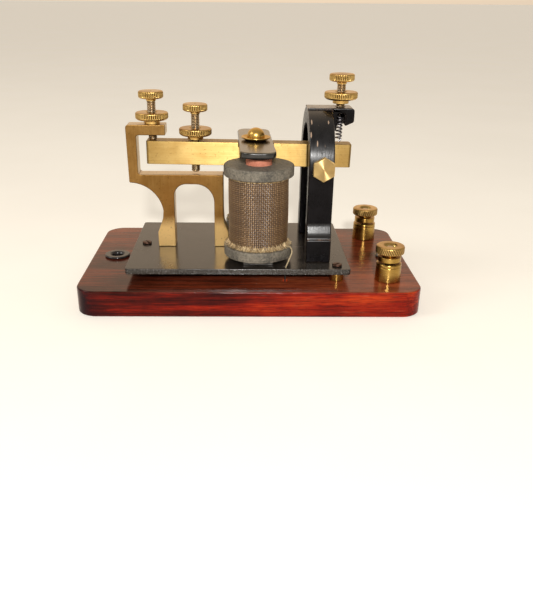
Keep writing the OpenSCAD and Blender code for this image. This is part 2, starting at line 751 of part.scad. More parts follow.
wooden_base();
mounting_eyelets();
sub_base_plate();
plate_spacers();
plate_screws();
anvil_frame();
anvil_screws();
standard();
standard_screws();
front_pivot_screw();
rear_pivot_screw();
pivot_arbor();
heel_bar();
core_screws();
front_core();
rear_core();
front_sleeve();
rear_sleeve();
front_lower_flange();
front_upper_flange();
rear_lower_flange();
rear_upper_flange();
front_winding();
rear_winding();
coil_jumper();
front_lead_wire();
rear_lead_wire();
lever();
armature();
armature_washer();
armature_screw();
up_stop_shank();
up_stop_head();
up_stop_lock_nut();
down_stop_shank();
down_stop_head();
down_stop_lock_nut();
tension_shank();
tension_head();
tension_lock_nut();
return_spring();
front_post_body();
rear_post_body();
front_post_stud();
rear_post_stud();
front_post_washer();
rear_post_washer();
front_thumb_nut();
rear_thumb_nut();
post_base_nuts();
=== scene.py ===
"""The looks of the telegraph sounder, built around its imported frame. Metres, +X along the base, +Z up."""

import json
import math
import random

import bmesh
import bpy
from mathutils import Matrix, Vector


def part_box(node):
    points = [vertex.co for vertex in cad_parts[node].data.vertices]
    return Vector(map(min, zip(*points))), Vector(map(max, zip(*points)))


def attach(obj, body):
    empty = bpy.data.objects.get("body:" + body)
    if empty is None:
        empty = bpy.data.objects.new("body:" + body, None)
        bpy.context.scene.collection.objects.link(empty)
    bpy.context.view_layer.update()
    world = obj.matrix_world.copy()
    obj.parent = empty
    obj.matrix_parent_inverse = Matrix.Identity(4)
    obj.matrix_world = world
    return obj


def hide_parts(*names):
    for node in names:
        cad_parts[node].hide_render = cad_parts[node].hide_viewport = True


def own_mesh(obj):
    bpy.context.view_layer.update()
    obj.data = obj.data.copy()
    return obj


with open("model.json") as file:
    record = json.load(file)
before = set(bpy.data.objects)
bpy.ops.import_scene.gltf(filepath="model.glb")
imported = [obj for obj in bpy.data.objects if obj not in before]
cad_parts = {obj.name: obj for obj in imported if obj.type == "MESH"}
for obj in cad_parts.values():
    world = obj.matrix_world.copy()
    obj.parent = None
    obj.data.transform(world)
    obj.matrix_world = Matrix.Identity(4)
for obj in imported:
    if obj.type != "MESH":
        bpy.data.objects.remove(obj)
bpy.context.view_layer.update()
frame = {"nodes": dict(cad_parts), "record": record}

MM = 0.001
nodes = frame["nodes"]
body_of_node = {n: b for b, names in frame["record"]["behaviour"]["bodies"].items() for n in names}
lever_tilt = math.radians(0.71)      # how far the lever leans at rest


# ---------------------------------------------------------------- camera, lights and room

CAMERA_PLACE = (-3.3, -360.3, 140.6)        # mm
CAMERA_ANGLES = (25.85, 0.90, 0.52)         # pitch, yaw and roll in degrees
CAMERA_LENS = 41.4
CAMERA_SENSOR = 36
CAMERA_SHIFT = (0.0236, 0.0547)


def add_camera():
    pitch, yaw, roll = (math.radians(angle) for angle in CAMERA_ANGLES)
    forward = Vector((math.sin(yaw) * math.cos(pitch), math.cos(yaw) * math.cos(pitch), -math.sin(pitch)))
    level = Vector((math.cos(yaw), -math.sin(yaw), 0))
    above = level.cross(forward)
    right = level * math.cos(roll) + above * math.sin(roll)
    up = above * math.cos(roll) - level * math.sin(roll)
    data = bpy.data.cameras.new("camera")
    data.sensor_width = CAMERA_SENSOR
    data.lens = CAMERA_LENS
    data.shift_x, data.shift_y = CAMERA_SHIFT
    camera = bpy.data.objects.new("camera", data)
    turn = Matrix((right, up, -forward)).transposed().to_4x4()
    camera.matrix_world = Matrix.Translation(Vector(CAMERA_PLACE) * MM) @ turn
    bpy.context.scene.collection.objects.link(camera)
    bpy.context.scene.camera = camera


def add_area_light(name, place, target, size, power, colour):
    data = bpy.data.lights.new(name, "AREA")
    data.shape = "DISK"
    data.size = size
    data.energy = power
    data.color = colour
    light = bpy.data.objects.new(name, data)
    light.location = place
    light.rotation_euler = (Vector(target) - Vector(place)).to_track_quat("-Z", "Y").to_euler()
    bpy.context.scene.collection.objects.link(light)


def add_lights():
    middle = (0, 0, 0.05)
    add_area_light("flash", (0.004, -0.78, 0.39), middle, size=0.06, power=6.4, colour=(1, 0.98, 0.95))
    add_area_light("left_soft", (-1.1, -0.3, 0.9), middle, size=0.6, power=4, colour=(1, 0.97, 0.93))


def add_room():
    """A dim room that is palest and warmest behind the object, a little above it."""
    glow_height = math.radians(28)
    room_colours = ((0.0, (0.34, 0.32, 0.29)), (0.55, (0.46, 0.42, 0.36)), (0.92, (0.92, 0.72, 0.52)))
    world = bpy.data.worlds.new("room")
    world.use_nodes = True
    tree = world.node_tree
    place = tree.nodes.new("ShaderNodeTexCoord")
    toward = tree.nodes.new("ShaderNodeVectorMath")
    toward.operation = "DOT_PRODUCT"
    toward.inputs[1].default_value = (0, math.cos(glow_height), math.sin(glow_height))
    ramp = tree.nodes.new("ShaderNodeValToRGB")
    set_stops(ramp.color_ramp, room_colours)
    tree.links.new(place.outputs["Generated"], toward.inputs[0])
    tree.links.new(toward.outputs["Value"], ramp.inputs[0])
    tree.links.new(ramp.outputs["Color"], tree.nodes["Background"].inputs["Color"])
    tree.nodes["Background"].inputs["Strength"].default_value = 1.0
    bpy.context.scene.world = world
    bpy.context.scene.view_settings.view_transform = "Standard"


# ---------------------------------------------------------------- shaders

FACE_COSINE = 0.995
EDGE_COSINE = 0.86
COLOUR_A, COLOUR_B, MIXED_COLOUR = 6, 7, 2      # the mix node's sockets for colours


def set_stops(color_ramp, stops):
    """Gives a colour ramp its stops, each a position and a colour."""
    while len(color_ramp.elements) < len(stops):
        color_ramp.elements.new(1)
    for element, (position, colour) in zip(color_ramp.elements, stops):
        element.position = position
        element.color = (*colour, 1)


class Shader:
    """A material whose nodes are added a step at a time. Textures lie in the row frame, in metres."""

    def __init__(self, name, **sockets):
        self.material = bpy.data.materials.new(name)
        self.material.use_nodes = True
        self.tree = self.material.node_tree
        self.bsdf = self.tree.nodes["Principled BSDF"]
        self.place = self.add("ShaderNodeTexCoord").outputs["Object"]
        for socket, value in sockets.items():
            self.put(socket, value)

    def add(self, kind):
        return self.tree.nodes.new(kind)

    def join(self, value, socket):
        if isinstance(value, bpy.types.NodeSocket):
            self.tree.links.new(value, socket)
        elif isinstance(value, tuple) and len(value) == 3 and socket.type == "RGBA":
            socket.default_value = (*value, 1)
        else:
            socket.default_value = value

    def put(self, socket, value):
        self.join(value, self.bsdf.inputs[socket.replace("_", " ")])
        return self

    def stretch(self, x, y, z):
        """The row frame's coordinates, scaled along each axis."""
        mapping = self.add("ShaderNodeMapping")
        self.join(self.place, mapping.inputs["Vector"])
        mapping.inputs["Scale"].default_value = (x, y, z)
        return mapping.outputs[0]

    def axis(self, letter):
        split = self.add("ShaderNodeSeparateXYZ")
        self.join(self.place, split.inputs[0])
        return split.outputs[letter]

    def stored(self, name):
        attribute = self.add("ShaderNodeAttribute")
        attribute.attribute_name = name
        return attribute.outputs["Fac"]

    def noise(self, scale, detail=4, rough=0.55, source=None, bend=0.0):
        node = self.add("ShaderNodeTexNoise")
        self.join(source or self.place, node.inputs["Vector"])
        node.inputs["Scale"].default_value = scale
        node.inputs["Detail"].default_value = detail
        node.inputs["Roughness"].default_value = rough
        node.inputs["Distortion"].default_value = bend
        return node.outputs["Fac"]

    def lines(self, value, scale, detail=3):
        """Fine bands that vary only with a single value, such as turning marks."""
        combine = self.add("ShaderNodeCombineXYZ")
        self.join(value, combine.inputs[0])
        return self.noise(scale, detail, 0.7, combine.outputs[0])

    def cells(self, scale, source=None):
        node = self.add("ShaderNodeTexVoronoi")
        self.join(source or self.place, node.inputs["Vector"])
        node.inputs["Scale"].default_value = scale
        return node.outputs["Distance"]

    def span(self, value, low, high, to_low=0.0, to_high=1.0):
        node = self.add("ShaderNodeMapRange")
        for socket, v in zip(("Value", "From Min", "From Max", "To Min", "To Max"),
                             (value, low, high, to_low, to_high)):
            self.join(v, node.inputs[socket])
        return node.outputs[0]

    def math(self, operation, a, b=0.0):
        node = self.add("ShaderNodeMath")
        node.operation = operation
        self.join(a, node.inputs[0])
        self.join(b, node.inputs[1])
        return node.outputs[0]

    def times(self, a, b):
        return self.math("MULTIPLY", a, b)

    def plus(self, a, b):
        return self.math("ADD", a, b)

    def ramp(self, value, *stops):
        node = self.add("ShaderNodeValToRGB")
        set_stops(node.color_ramp, stops)
        self.join(value, node.inputs[0])
        return node.outputs["Color"]

    def mix(self, amount, a, b):
        node = self.add("ShaderNodeMix")
        node.data_type = "RGBA"
        self.join(amount, node.inputs[0])
        self.join(a, node.inputs[COLOUR_A])
        self.join(b, node.inputs[COLOUR_B])
        return node.outputs[MIXED_COLOUR]

    def edges(self, radius):
        """1 along sharp edges and 0 on open faces."""
        bevel = self.add("ShaderNodeBevel")
        bevel.samples = 6
        bevel.inputs["Radius"].default_value = radius
        geometry = self.add("ShaderNodeNewGeometry")
        dot = self.add("ShaderNodeVectorMath")
        dot.operation = "DOT_PRODUCT"
        self.join(bevel.outputs[0], dot.inputs[0])
        self.join(geometry.outputs["Normal"], dot.inputs[1])
        return self.span(dot.outputs["Value"], FACE_COSINE, EDGE_COSINE)

    def bump(self, *layers):
        """Layers of (height, depth in metres), each laid over the last."""
        normal = None
        for height, depth in layers:
            node = self.add("ShaderNodeBump")
            node.inputs["Strength"].default_value = 1
            node.inputs["Distance"].default_value = depth
            self.join(height, node.inputs["Height"])
            if normal is not None:
                self.join(normal, node.inputs["Normal"])
            normal = node.outputs[0]
        self.join(normal, self.bsdf.inputs["Normal"])
        return self

    def normal_along(self, letter):
        """How far the surface faces along an axis, from -1 to 1."""
        split = self.add("ShaderNodeSeparateXYZ")
        self.join(self.add("ShaderNodeNewGeometry").outputs["Normal"], split.inputs[0])
        return split.outputs[letter]

    def brushed_across(self, direction):
        """Straight brushing: the highlight spreads along the direction given, across the brush marks."""
        combine = self.add("ShaderNodeCombineXYZ")
        for socket, value in zip(combine.inputs, direction):
            socket.default_value = value
        self.join(combine.outputs[0], self.bsdf.inputs["Tangent"])
        return self

    def turned_about(self, letter):
        """Turning marks in circles about an axis of the piece."""
        tangent = self.add("ShaderNodeTangent")
        tangent.direction_type = "RADIAL"
        tangent.axis = letter
        self.join(tangent.outputs[0], self.bsdf.inputs["Tangent"])
        return self.put("Anisotropic_Rotation", 0.25)


def mahogany():
    """Figure, streaks and pores along X, one dark corner and rubbed edges; glossier on top, and browner
    there as a painted sheen.
    """
    s = Shader("mahogany", IOR=1.30)
    red_stops = ((0.39, (0.014, 0.001, 0.001)), (0.46, (0.070, 0.004, 0.002)),
                 (0.53, (0.21, 0.009, 0.003)), (0.63, (0.46, 0.045, 0.008)))
    top_sheen_stops = ((0.39, (0.020, 0.006, 0.003)), (0.50, (0.125, 0.026, 0.010)),
                   (0.63, (0.27, 0.068, 0.024)))
    dark, pore = (0.020, 0.002, 0.003), (0.010, 0.002, 0.002)
    rubbed, scuffed = (0.42, 0.20, 0.11), (0.30, 0.15, 0.09)
    figure = s.noise(1.0, 5, 0.6, s.stretch(4.0, 38, 70), 1.2)
    streaks = s.noise(1.0, 5, 0.7, s.stretch(20, 480, 620), 0.3)
    pores = s.noise(1.0, 2, 0.5, s.stretch(150, 2600, 3000))
    clouds = s.noise(22, 4, 0.6)
    tone = s.plus(s.times(figure, 0.40), s.times(streaks, 0.34))
    tone = s.plus(tone, s.times(clouds, 0.26))
    colour = s.ramp(tone, *red_stops)
    sheened_top = s.ramp(tone, *top_sheen_stops)
    # Painted sheen: faces that look up take browner, greyer colours.
    colour = s.mix(s.times(s.span(s.normal_along("Z"), 0.5, 0.9), 0.8), colour, sheened_top)
    dark_end = s.times(s.span(s.axis("X"), -68 * MM, -80 * MM), s.span(clouds, 0.36, 0.50))
    dark_corner = s.times(dark_end, s.span(s.axis("Y"), -40 * MM, -50 * MM))
    colour = s.mix(dark_corner, colour, (0.012, 0.002, 0.004))
    bands = s.noise(1.0, 5, 0.7, s.stretch(7, 210, 420), 0.8)
    strength = s.span(s.normal_along("Z"), 0.3, 0.8, 0.75, 0.3)
    colour = s.mix(s.times(s.span(bands, 0.53, 0.63), strength), colour, dark)
    colour = s.mix(s.span(pores, 0.36, 0.46, 0.5, 0), colour, pore)
    worn = s.times(s.edges(0.9 * MM), s.span(s.noise(160, 4, 0.6), 0.42, 0.62))
    colour = s.mix(s.times(worn, 0.6), colour, rubbed)
    scuffs = s.span(s.noise(1.0, 3, 0.6, s.stretch(60, 800, 800)), 0.64, 0.72)
    scuffs = s.times(scuffs, s.span(clouds, 0.5, 0.6))
    s.put("Base Color", s.mix(s.times(scuffs, 0.35), colour, scuffed))
    s.put("Specular IOR Level", s.span(s.normal_along("Z"), 0.2, 0.8, 0.25, 0.5))
    s.put("Roughness", s.span(s.plus(clouds, s.times(streaks, 0.3)), 0.45, 0.85, 0.09, 0.24))
    return s.bump((streaks, 0.04 * MM), (pores, 0.03 * MM), (s.noise(60, 2), 0.10 * MM)).material


def japanned_plate():
    """Glossy black plate: smeared polish, dust, scratches along X, rubbed edges, and painted speckled
    highlights on the front rim.
    """
    s = Shader("japanned_plate", IOR=1.52)
    dusty, rim_speckle_highlight, bare = (0.17, 0.145, 0.115), (0.20, 0.19, 0.18), (0.26, 0.23, 0.20)
    smears = s.noise(38, 5, 0.66, bend=0.8)
    dust = s.noise(2400, 2, 0.5)
    colour = s.ramp(smears, (0.35, (0.010, 0.008, 0.007)), (0.7, (0.030, 0.024, 0.019)))
    colour = s.mix(s.span(dust, 0.60, 0.72, 0, 0.6), colour, dusty)
    # Painted highlight: light speckles on the faces toward -Y, the front rim.
    rim = s.times(s.span(s.normal_along("Y"), -0.4, -0.9), s.span(s.noise(1500, 3, 0.7), 0.55, 0.64))
    colour = s.mix(s.times(rim, 0.45), colour, rim_speckle_highlight)
    worn = s.times(s.edges(0.35 * MM), s.span(s.noise(340, 4, 0.65), 0.45, 0.6))
    scratches = s.span(s.noise(1.0, 3, 0.6, s.stretch(18, 700, 700), 0.3), 0.69, 0.73)
    s.put("Base Color", s.mix(s.math("MAXIMUM", worn, s.times(scratches, 0.5)), colour, bare))
    s.put("Metallic", s.times(worn, 0.6))
    s.put("Roughness", s.span(smears, 0.3, 0.7, 0.12, 0.30))
    return s.bump((s.cells(620), 0.010 * MM), (s.noise(70, 2), 0.06 * MM)).material


def black_japan():
    """Brushed-on black: shinier where the face slopes upward, chipped and rubbed near the standard's top,
    with a painted reflection on its faces toward -X up there.
    """
    s = Shader("black_japan", IOR=1.45)
    chipped, rubbed, side_reflection_colour = (0.34, 0.24, 0.17), (0.16, 0.09, 0.06), (0.13, 0.11, 0.10)
    mottle = s.noise(120, 5, 0.6)
    brushed = s.noise(1.0, 4, 0.65, s.stretch(900, 50, 50))
    high = s.span(s.axis("Z"), 66 * MM, 78 * MM)
    chips = s.span(s.cells(1.0, s.stretch(560, 110, 110)), 0.20, 0.15)
    chips = s.times(chips, s.span(s.noise(90, 3), 0.56, 0.60))
    worn = s.times(s.edges(0.8 * MM), s.span(s.noise(260, 5, 0.7), 0.46, 0.60))
    # Painted reflection: faces toward -X, high up, take a lighter tone.
    side = s.times(s.span(s.normal_along("X"), -0.7, -0.95), high)
    side = s.times(side, s.span(s.noise(520, 5, 0.7), 0.40, 0.62))
    colour = s.ramp(mottle, (0.35, (0.0015, 0.001, 0.0015)), (0.7, (0.006, 0.005, 0.006)))
    colour = s.mix(s.times(chips, high), colour, chipped)
    colour = s.mix(worn, colour, rubbed)
    s.put("Base Color", s.mix(side, colour, side_reflection_colour))
    sloping = s.span(s.normal_along("Z"), 0.02, 0.20)
    s.put("Specular IOR Level", s.span(sloping, 0, 1, 0.10, 0.40))
    s.put("Coat Weight", s.times(sloping, 0.5))
    uneven = s.plus(mottle, s.times(brushed, 0.5))
    s.put("Coat Roughness", s.span(uneven, 0.5, 1.0, 0.06, 0.20))
    s.put("Roughness", s.span(uneven, 0.5, 1.0, 0.18, 0.40))
    return s.bump((mottle, 0.12 * MM), (brushed, 0.05 * MM), (s.noise(900, 3), 0.014 * MM),
                  (chips, -0.04 * MM)).material


def brass(name, colour, tarnish, roughness, marks, mark_depth=0.006, spots=0.5, edge=0.5, cast=False):
    """Brass with patchy tarnish, brighter worn edges, and the marks of brushing or turning.
    Cast brass is also ruddy in patches, paler where it faces up or along +X as a painted reflection, and
    paler low down as painted light."""
    s = Shader(name, Metallic=1.0)
    field = marks(s)
    patches = s.noise(70, 5, 0.62, bend=0.5)
    dull = s.plus(s.times(patches, 0.65), s.times(field, 0.35))
    tint = s.mix(s.span(dull, 0.40, 0.66, 0, 1), tarnish, colour)
    if cast:
        tint = cast_tints(s, tint, patches)
    bright = tuple(min(1, 1.7 * c) for c in colour)
    freckle = tuple(0.35 * c for c in tarnish)
    grime = tuple(0.15 * c for c in tarnish)
    tint = s.mix(s.times(s.span(s.noise(900, 3, 0.6), 0.62, 0.70), spots), tint, freckle)
    tint = s.mix(s.times(s.edges(0.4 * MM), edge), tint, bright)
    s.put("Base Color", s.mix(s.stored("groove"), tint, grime))
    s.put("Roughness", s.span(dull, 0.35, 0.7, roughness + 0.12, roughness))
    s.bump((field, mark_depth * MM), (patches, 0.02 * MM))
    return s


def cast_tints(s, tint, patches):
    """What cast brass adds to a tint. The brass low down is painted paler as painted light, and is also less
    metallic.
    """
    ruddy, painted_reflection_tint, painted_low_light = (0.22, 0.095, 0.022), (0.80, 0.66, 0.46), (0.62, 0.40, 0.15)
    # Painted light: a paler tint low down.
    low = s.span(s.plus(s.axis("Z"), s.times(patches, 6 * MM)), 40 * MM, 34 * MM)
    blotches = s.times(s.span(s.noise(26, 4, 0.6), 0.42, 0.6), s.span(s.axis("Z"), 74 * MM, 45 * MM))
    facing_up, facing_x = (s.span(s.normal_along(letter), 0.7, 0.95) for letter in ("Z", "X"))
    tint = s.mix(s.times(blotches, 0.6), tint, ruddy)
    # Painted reflection: faces that look up or along +X take a light tint.
    tint = s.mix(s.times(s.math("MAXIMUM", facing_up, facing_x), 0.8), tint, painted_reflection_tint)
    s.put("Metallic", s.math("SUBTRACT", 1.0, s.times(low, 0.55)))
    return s.mix(low, tint, painted_low_light)


def along_x(s):
    return s.noise(1.0, 4, 0.7, s.stretch(25, 2600, 2600))


def along_z(s):
    return s.noise(1.0, 4, 0.7, s.stretch(2300, 2300, 40))


def around(s):
    return s.lines(s.stored("ring"), 2600)


def unmarked(s):
    return s.noise(500, 3)


def lever_brass():
    s = brass("lever_brass", (0.45, 0.315, 0.118), (0.32, 0.200, 0.062), 0.34, along_x,
              mark_depth=0.012, spots=0.6, edge=0.8)
    return s.put("Anisotropic", 0.9).brushed_across((0, 0, 1)).material


def cast_brass():
    s = brass("cast_brass", (0.31, 0.182, 0.060), (0.20, 0.103, 0.028), 0.34, along_z,
              mark_depth=0.010, spots=0.6, edge=0.6, cast=True)
    return s.put("Anisotropic", 0.6).brushed_across((1, 0, 0)).material


def turned_brass():
    s = brass("turned_brass", (0.62, 0.41, 0.115), (0.32, 0.175, 0.038), 0.20, around,
              mark_depth=0.016, spots=0.6, edge=0.3)
    return s.put("Anisotropic", 0.75).turned_about("Z").material


def knurled_brass():
    return brass("knurled_brass", (0.76, 0.51, 0.18), (0.44, 0.25, 0.075), 0.25, around,
                 mark_depth=0.006, spots=0.4, edge=0.5).material


def thread_brass():
    return brass("thread_brass", (0.84, 0.68, 0.46), (0.50, 0.37, 0.23), 0.30, unmarked,
                 mark_depth=0.01, spots=0.6, edge=0.4).material


def polished_brass():
    return brass("polished_brass", (0.80, 0.53, 0.16), (0.58, 0.34, 0.08), 0.25, unmarked,
                 mark_depth=0.002, spots=0.3, edge=0.2).material


def hex_brass():
    s = brass("hex_brass", (0.58, 0.43, 0.20), (0.44, 0.295, 0.12), 0.34, around,
              mark_depth=0.004, spots=0.25, edge=0.5)
    return s.put("Anisotropic", 0.92).turned_about("Y").put("Anisotropic_Rotation", 0.21).material


def steel(name, light, dark, roughness, worn=(0.42, 0.41, 0.39), black_sides=False, pitting=1.0):
    """Stained, finely pitted steel or iron. With black sides, only the faces that look up are bare."""
    s = Shader(name)
    stains = s.noise(130, 5, 0.65, bend=0.6)
    fine = s.noise(1700, 3, 0.6)
    pit = tuple(0.4 * c for c in dark)
    colour = s.ramp(stains, (0.36, dark), (0.64, light))
    colour = s.mix(s.times(s.span(fine, 0.6, 0.7), 0.5), colour, pit)
    colour = s.mix(s.times(s.edges(0.35 * MM), 0.5), colour, worn)
    metal = 1.0
    if black_sides:
        side = s.span(s.normal_along("Z"), 0.80, 0.35)
        colour = s.mix(side, colour, (0.012, 0.011, 0.011))
        metal = s.math("SUBTRACT", 1.0, side)
    s.put("Metallic", metal)
    s.put("Base Color", colour)
    s.put("Roughness", s.span(stains, 0.3, 0.7, roughness, roughness + 0.16))
    return s.bump((fine, 0.008 * pitting * MM), (stains, 0.03 * pitting * MM)).material


def black_enamel():
    s = Shader("black_enamel", IOR=1.62)
    mottle = s.noise(420, 4, 0.6)
    worn = s.times(s.edges(0.3 * MM), s.span(mottle, 0.45, 0.6))
    colour = s.ramp(mottle, (0.3, (0.006, 0.005, 0.005)), (0.7, (0.025, 0.02, 0.018)))
    s.put("Base Color", s.mix(worn, colour, (0.22, 0.16, 0.12)))
    s.put("Roughness", s.span(mottle, 0.3, 0.7, 0.12, 0.28))
    return s.bump((mottle, 0.012 * MM)).material


def fibre(name, light, dark, worn):
    """Vulcanised fibre: pressed layers, a felty speckle and rubbed edges."""
    s = Shader(name, IOR=1.4)
    speckle = s.noise(900, 5, 0.75)
    clouds = s.noise(90, 5, 0.6)
    layers = s.lines(s.axis("Z"), 1900, 2)
    tone = s.plus(s.times(speckle, 0.45), s.times(clouds, 0.35))
    tone = s.plus(tone, s.times(layers, 0.2))
    colour = s.ramp(tone, (0.42, dark), (0.57, light))
    rubbed = s.times(s.edges(0.6 * MM), s.span(speckle, 0.4, 0.6))
    s.put("Base Color", s.mix(s.times(rubbed, 0.5), colour, worn))
    s.put("Roughness", s.span(clouds, 0.3, 0.7, 0.48, 0.7))
    return s.bump((speckle, 0.06 * MM), (layers, 0.03 * MM), (clouds, 0.08 * MM)).material


def woven_cloth():
    """Lacquered cloth coloured by thread height: painted shade between the threads, brownish on them and
    palest on their crowns as a painted highlight, and dry straw where it frays.
    """
    s = Shader("woven_cloth", IOR=1.22, Coat_Weight=1.0, Coat_Roughness=0.30)
    height = s.stored("height")
    fuzz = s.noise(2600, 3, 0.7)
    # Painted shade and highlight: the colour follows thread height, dark in the gaps and palest on the
    # crowns.
    tone = s.plus(s.times(height, 0.72), s.times(s.stored("shade"), 0.12))
    tone = s.plus(tone, s.times(s.noise(110, 4, 0.6), 0.16))
    colour = s.ramp(tone, (0.22, (0.010, 0.005, 0.001)), (0.50, (0.052, 0.022, 0.005)),
                    (0.70, (0.118, 0.056, 0.014)), (0.90, (0.40, 0.255, 0.125)))
    dry = s.ramp(fuzz, (0.3, (0.16, 0.095, 0.035)), (0.7, (0.50, 0.36, 0.17)))
    colour = s.mix(s.stored("straw"), colour, dry)
    s.put("Base Color", s.mix(s.span(fuzz, 0.40, 0.60, 0.3, 0), colour, (0.02, 0.012, 0.006)))
    s.put("Roughness", s.span(fuzz, 0.3, 0.7, 0.42, 0.62))
    return s.bump((fuzz, 0.05 * MM)).material


def straw_thread():
    s = Shader("straw_thread")
    tone = s.plus(s.times(s.stored("shade"), 0.7), s.times(s.noise(700, 3, 0.6), 0.3))
    s.put("Base Color", s.ramp(tone, (0.15, (0.085, 0.046, 0.015)), (0.50, (0.34, 0.22, 0.09)),
                               (0.85, (0.80, 0.62, 0.36))))
    s.put("Roughness", s.span(tone, 0.3, 0.7, 0.6, 0.8))
    return s.bump((s.noise(4000, 2), 0.02 * MM)).material


def braided_wire():
    """A dusty braid, with painted shade from about the plate's underside down."""
    s = Shader("braided_wire")
    tone = s.noise(900, 3, 0.6)
    colour = s.ramp(s.plus(s.times(s.stored("braid"), 0.6), s.times(tone, 0.4)),
                    (0.2, (0.10, 0.065, 0.03)), (0.7, (0.46, 0.36, 0.21)))
    # Painted shade: the wire turns dark below the plate's underside.
    shade_below_plate = s.span(s.axis("Z"), 18 * MM, 17 * MM)
    s.put("Base Color", s.mix(shade_below_plate, colour, (0.015, 0.010, 0.007)))
    s.put("Roughness", s.span(tone, 0.3, 0.7, 0.6, 0.8))
    return s.bump((tone, 0.02 * MM)).material


def pale_floor():
    s = Shader("pale_floor", Roughness=0.9, IOR=1.3)
    s.put("Emission Color", (0.80, 0.78, 0.74)).put("Emission Strength", 0.33)
    s.put("Base Color", s.ramp(s.noise(9, 3), (0.4, (0.80, 0.765, 0.68)), (0.6, (0.82, 0.785, 0.70))))
    return s.material


# ---------------------------------------------------------------- mesh tools

SHARP_FROM = math.radians(38)
MOST_OF_SIDE = 0.42     # how much of a profile's side a softened corner may take
ON_AXIS = 1e-6


def new_piece(name, verts, faces, material, smooth=True, attributes=None):
    mesh = bpy.data.meshes.new(name)
    mesh.from_pydata(verts, [], faces)
    for key, values in (attributes or {}).items():
        mesh.attributes.new(key, "FLOAT", "POINT").data.foreach_set("value", values)
    mesh.materials.append(material)
    piece = bpy.data.objects.new(name, mesh)
    bpy.context.scene.collection.objects.link(piece)
    fixer = bmesh.new()
    fixer.from_mesh(mesh)
    bmesh.ops.recalc_face_normals(fixer, faces=fixer.faces)
    fixer.to_mesh(mesh)
    fixer.free()
    mesh.polygons.foreach_set("use_smooth", [smooth] * len(mesh.polygons))
    if smooth:
        mesh.set_sharp_from_angle(angle=SHARP_FROM)
    return piece


def stand_for(piece, *replaced):
    """The piece takes the place of CAD nodes, and moves with the first one's body."""
    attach(piece, body_of_node[replaced[0]])
    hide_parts(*replaced)
    return piece


def soften(points, radius, steps=3):
    """A closed profile with each corner turned into a small arc."""
    out = []
    for i, point in enumerate(points):
        here = Vector(point)
        before, after = Vector(points[i - 1]) - here, Vector(points[(i + 1) % len(points)]) - here
        reach = min(radius, MOST_OF_SIDE * before.length, MOST_OF_SIDE * after.length)
        start, end = here + before.normalized() * reach, here + after.normalized() * reach
        for k in range(steps + 1):
            t = k / steps
            out.append(tuple(start * (1 - t) ** 2 + here * 2 * t * (1 - t) + end * t * t))
    return out


def turned(name, profile, material, matrix, sides=96, closed=False, relief=None, relief_depth=0.26):
    """A solid of revolution about local Z, from a profile in mm. Relief says how far each point
    sinks, in mm, and relief_depth is the depth that counts as the bottom of a groove."""
    travel = [0.0]
    for a, b in zip(profile, profile[1:]):
        travel.append(travel[-1] + math.dist(a, b))
    verts, ring, groove, rows = [], [], [], []
    for (r, z), s in zip(profile, travel):
        if r < ON_AXIS:
            rows.append([len(verts)] * sides)
            verts.append(matrix @ (Vector((0, 0, z)) * MM))
            ring.append(s * MM)
            groove.append(0.0)
            continue
        rows.append(range(len(verts), len(verts) + sides))
        for i in range(sides):
            angle = 2 * math.pi * i / sides
            sink = relief(angle, r, z) if relief else 0
            radius = r - sink
            verts.append(matrix @ (Vector((radius * math.cos(angle), radius * math.sin(angle), z)) * MM))
            ring.append(s * MM)
            groove.append(min(1.0, sink / relief_depth))
    faces = []
    pairs = list(zip(rows, rows[1:])) + ([(rows[-1], rows[0])] if closed else [])
    for low, high in pairs:
        for i in range(sides):
            k = (i + 1) % sides
            corners = [low[i], low[k], high[k], high[i]]
            face = [c for j, c in enumerate(corners) if c not in corners[:j]]
            if len(face) > 2:
                faces.append(face)
    return new_piece(name, verts, faces, material, attributes={"ring": ring, "groove": groove})


def quarter(cx, cz, rx, rz, start, end, steps):
    """Points of an elliptical arc, in degrees."""
    angles = [math.radians(start + (end - start) * k / steps) for k in range(steps + 1)]
    return [(cx + rx * math.cos(a), cz + rz * math.sin(a)) for a in angles]


def tube(path, radius, sides):
    """Vertices and faces of a capped round tube along a path, in metres. The radius may vary along it."""
    verts, faces = [], []
    side = None
    count = len(path)
    for i, point in enumerate(path):
        ahead = (path[min(i + 1, count - 1)] - path[max(i - 1, 0)]).normalized()
        if side is None:
            side = ahead.orthogonal()
        side = (side - ahead * side.dot(ahead)).normalized()
        other = ahead.cross(side)
        r = radius(i / (count - 1)) if callable(radius) else radius
        for j in range(sides):
            a = 2 * math.pi * j / sides
            verts.append(point + (side * math.cos(a) + other * math.sin(a)) * r)
    for i in range(count - 1):
        for j in range(sides):
            k = (j + 1) % sides
            faces.append([i * sides + j, i * sides + k, (i + 1) * sides + k, (i + 1) * sides + j])
    faces.append(list(range(sides))[::-1])
    faces.append([(count - 1) * sides + j for j in range(sides)])
    return verts, faces


def spline_through(points, steps):
    """A smooth line through the points, with that many steps for each stretch."""
    out = []
    for i in range(len(points) - 1):
        p0, p1 = points[max(i - 1, 0)], points[i]
        p2, p3 = points[i + 1], points[min(i + 2, len(points) - 1)]
        for k in range(steps):
            t = k / steps
            out.append(0.5 * (2 * p1 + (p2 - p0) * t + (2 * p0 - 5 * p1 + 4 * p2 - p3) * t * t
                              + (3 * p1 - p0 - 3 * p2 + p3) * t ** 3))
    return out + [points[-1]]


def seat(node, height):
    """Where a local solid of that height in mm, standing on z = 0, takes a CAD node's place."""
    low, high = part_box(node)
    on_lever = body_of_node[node] == "lever" or body_of_node[node].startswith("down_stop")
    tilt = Matrix.Rotation(lever_tilt, 4, "Y") if on_lever else Matrix.Identity(4)
    return Matrix.Translation((low + high) / 2) @ tilt @ Matrix.Translation((0, 0, -height / 2 * MM))


def size_mm(node):
    low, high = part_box(node)
    return (high - low) / MM


def saw(x):
    """A triangle wave from 0 to 1 with period 1."""
    return abs(2 * (x - math.floor(x)) - 1)


